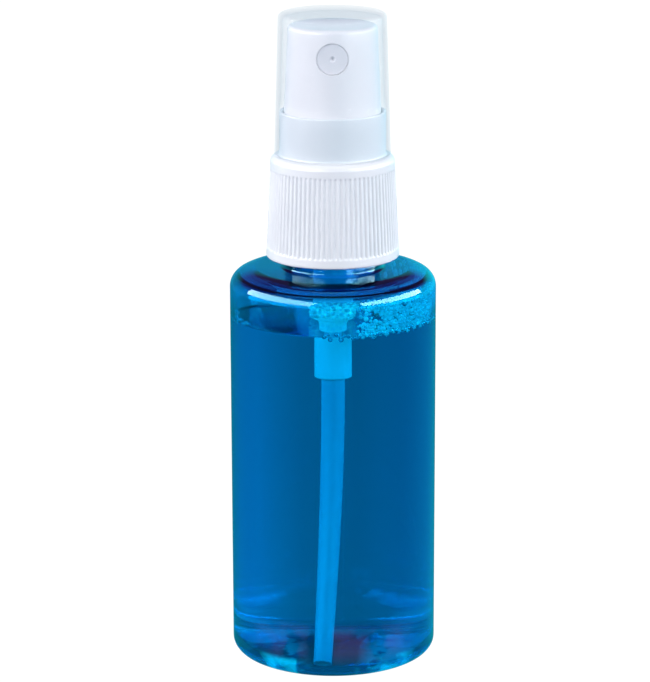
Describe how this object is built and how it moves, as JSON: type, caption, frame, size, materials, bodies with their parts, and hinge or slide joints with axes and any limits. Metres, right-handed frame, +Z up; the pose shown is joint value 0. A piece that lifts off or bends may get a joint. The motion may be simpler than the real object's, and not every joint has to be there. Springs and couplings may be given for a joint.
{
  "type": "lens cleaning spray bottle",
  "caption": "Round clear bottle of lens cleaning liquid with a ribbed screw closure, a fine-mist pump, a push-down spray head and a clear overcap.",
  "frame": {"origin": "centre of the bottle's foot, on the surface it stands on", "axes": "+Z up along the bottle's axis; the nozzle faces -Y; the dip tube leans towards -Y and a little towards -X"},
  "size_m": [0.0368, 0.0368, 0.117],
  "materials": {
    "bottle_pet": "clear blue PET, high gloss",
    "liquid": "clear blue liquid",
    "white_pp": "moulded, satin",
    "natural_pp": "natural translucent, satin",
    "tube_pe": "natural translucent, satin",
    "nozzle_pom": "moulded, satin",
    "gasket_pe": "foamed, matt",
    "overcap_clear": "clear, slightly hazy, glossy",
    "steel": "bright stainless"
  },
  "bodies": {
    "bottle": {"bottle": "bottle_pet", "cleaning_fluid": "liquid"},
    "pump": {"pump_housing": "natural_pp", "dip_tube": "tube_pe", "neck_gasket": "gasket_pe", "stem_guide": "natural_pp", "return_spring": "steel"},
    "closure": {"closure": "white_pp"},
    "overcap": {"overcap": "overcap_clear"},
    "stem": {"stem": "natural_pp", "valve_stem": "natural_pp"},
    "head": {"actuator": "white_pp", "nozzle_insert": "nozzle_pom"},
    "piston": {"piston": "tube_pe"},
    "ball": {"inlet_ball": "steel"}
  },
  "joints": [
    {"name": "closure_turn", "type": "hinge", "parent": "pump", "child": "closure", "pos_m": [0, 0, 0.0736], "axis": [0, 0, 1], "range_deg": [0, 540]},
    {"name": "pump_lift", "type": "slide", "parent": "bottle", "child": "pump", "axis": [0, 0, 1], "range_m": [0, 0.0048]},
    {"name": "overcap_lift", "type": "slide", "parent": "closure", "child": "overcap", "axis": [0, 0, 1], "range_m": [0, 0.036]},
    {"name": "actuator_press", "type": "slide", "parent": "pump", "child": "stem", "axis": [0, 0, -1], "range_m": [0, 0.005], "stiffness_N_per_m": 1200, "springref_m": -0.003, "deforming": ["return_spring"]},
    {"name": "head_swivel", "type": "hinge", "parent": "stem", "child": "head", "pos_m": [0, 0, 0.105], "axis": [0, 0, 1], "continuous": true},
    {"name": "piston_slide", "type": "slide", "parent": "pump", "child": "piston", "axis": [0, 0, -1], "range_m": [0, 0.0042]},
    {"name": "ball_lift", "type": "slide", "parent": "pump", "child": "ball", "axis": [0, 0, 1], "range_m": [0, 0.0008]}
  ],
  "couplings": [
    {"joint": "pump_lift", "follows": "closure_turn", "m_per_rad": 0.00050532},
    {"joint": "piston_slide", "follows": "actuator_press", "ratio": 0.84}
  ]
}
